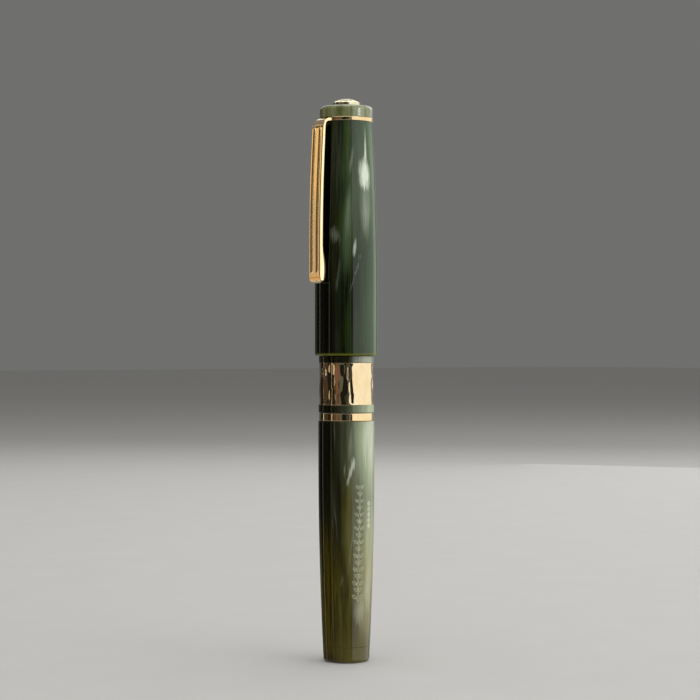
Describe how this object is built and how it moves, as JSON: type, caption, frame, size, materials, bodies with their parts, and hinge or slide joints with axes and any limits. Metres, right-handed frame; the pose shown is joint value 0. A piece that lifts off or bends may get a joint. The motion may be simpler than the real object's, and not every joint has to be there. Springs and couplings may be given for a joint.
{
  "type": "fountain pen",
  "caption": "Capped fountain pen with a screw cap, sprung pocket clip, sealing inner cap, screw-in section and nib unit, and a piston converter inside.",
  "frame": {"origin": "centre of the flat barrel end, on which the capped pen stands", "axes": "+Z along the pen towards the cap's crown; the clip lies at -Y; X across the clip"},
  "size_m": [0.0154, 0.0176, 0.137],
  "materials": {
    "barrel_resin": "polished marbled green acrylic resin",
    "cap_resin": "polished marbled green acrylic resin, darker than the barrel",
    "crown_resin": "polished pale olive acrylic resin",
    "polished_gold": "gold plated, polished",
    "hammered_gold": "gold plated, hammered facets, polished",
    "medallion_gold": "gold plated, struck relief",
    "nib_gold": "gold, engraved and polished",
    "nib_point": "polished hard alloy",
    "black_resin": "polished black resin",
    "feed_ebonite": "matte black",
    "seal_rubber": "black nitrile rubber",
    "inner_cap_plastic": "moulded off-white",
    "retainer_plastic": "moulded black",
    "spring_steel": "plain stainless steel",
    "clear_acrylic": "clear, polished",
    "converter_metal": "plated, polished",
    "converter_black": "moulded black",
    "piston_plastic": "moulded dark grey"
  },
  "bodies": {
    "barrel": {"barrel_tube": "barrel_resin", "barrel_end_cap": "barrel_resin", "barrel_band_narrow": "polished_gold", "barrel_spacer_ring": "barrel_resin", "barrel_band_wide": "hammered_gold", "barrel_collar": "barrel_resin"},
    "trim_ring": {"section_trim_ring": "polished_gold"},
    "section_seal": {"section_o_ring": "seal_rubber"},
    "section": {"section_grip": "black_resin", "section_front_ring": "polished_gold"},
    "nib_seal": {"nib_o_ring": "seal_rubber"},
    "nib_unit": {"nib_housing": "black_resin", "feed": "feed_ebonite", "nib": "nib_gold", "nib_tipping": "nib_point"},
    "converter": {"converter_mouth": "converter_black", "converter_tube": "clear_acrylic", "converter_sleeve": "converter_metal", "converter_rod_guide": "converter_black"},
    "knob": {"converter_knob": "converter_black", "converter_spindle": "converter_black"},
    "piston": {"converter_piston": "piston_plastic", "converter_piston_rod": "piston_plastic"},
    "inner_cap": {"inner_cap": "inner_cap_plastic", "cap_spring": "spring_steel"},
    "spring_washer": {"spring_washer": "spring_steel"},
    "cap": {"cap_tube": "cap_resin", "inner_cap_retainer": "retainer_plastic", "clip_ring": "polished_gold", "cap_screw": "spring_steel", "cap_jewel": "crown_resin", "cap_medallion": "medallion_gold"},
    "clip": {"clip": "polished_gold"}
  },
  "joints": [
    {"name": "section_pull", "type": "slide", "parent": "barrel", "child": "trim_ring", "axis": [0, 0, 1], "range_m": [0, 0.065]},
    {"name": "section_rise", "type": "slide", "parent": "trim_ring", "child": "section_seal", "axis": [0, 0, 1], "range_m": [0, 0.006]},
    {"name": "section_turn", "type": "hinge", "parent": "section_seal", "child": "section", "pos_m": [0, 0, 0], "axis": [0, 0, 1], "range_deg": [0, 2881]},
    {"name": "nib_rise", "type": "slide", "parent": "section", "child": "nib_seal", "axis": [0, 0, 1], "range_m": [0, 0.003]},
    {"name": "nib_turn", "type": "hinge", "parent": "nib_seal", "child": "nib_unit", "pos_m": [0, 0, 0], "axis": [0, 0, 1], "range_deg": [0, 1801]},
    {"name": "converter_pull", "type": "slide", "parent": "section", "child": "converter", "axis": [0, 0, -1], "range_m": [0, 0.0034]},
    {"name": "knob_turn", "type": "hinge", "parent": "converter", "child": "knob", "pos_m": [0, 0, 0], "axis": [0, 0, -1], "range_deg": [0, 2701]},
    {"name": "piston_slide", "type": "slide", "parent": "converter", "child": "piston", "axis": [0, 0, 1], "range_m": [0, 0.024]},
    {"name": "cap_pull", "type": "slide", "parent": "section", "child": "inner_cap", "axis": [0, 0, 1], "range_m": [0, 0.06]},
    {"name": "cap_rise", "type": "slide", "parent": "inner_cap", "child": "spring_washer", "axis": [0, 0, 1], "range_m": [0, 0.003], "deforming": ["cap_spring"]},
    {"name": "cap_turn", "type": "hinge", "parent": "spring_washer", "child": "cap", "pos_m": [0, 0, 0], "axis": [0, 0, 1], "range_deg": [0, 451]},
    {"name": "clip_flex", "type": "hinge", "parent": "cap", "child": "clip", "pos_m": [0, -0.00462, 0.13157], "axis": [-1, 0, 0], "range_deg": [0, 4], "stiffness_Nm_per_rad": 0.5}
  ],
  "couplings": [
    {"joint": "section_turn", "follows": "section_rise", "rad_per_m": 8377.6},
    {"joint": "nib_turn", "follows": "nib_rise", "rad_per_m": 10472},
    {"joint": "knob_turn", "follows": "piston_slide", "rad_per_m": 1963.5},
    {"joint": "cap_turn", "follows": "cap_rise", "rad_per_m": 2618}
  ]
}
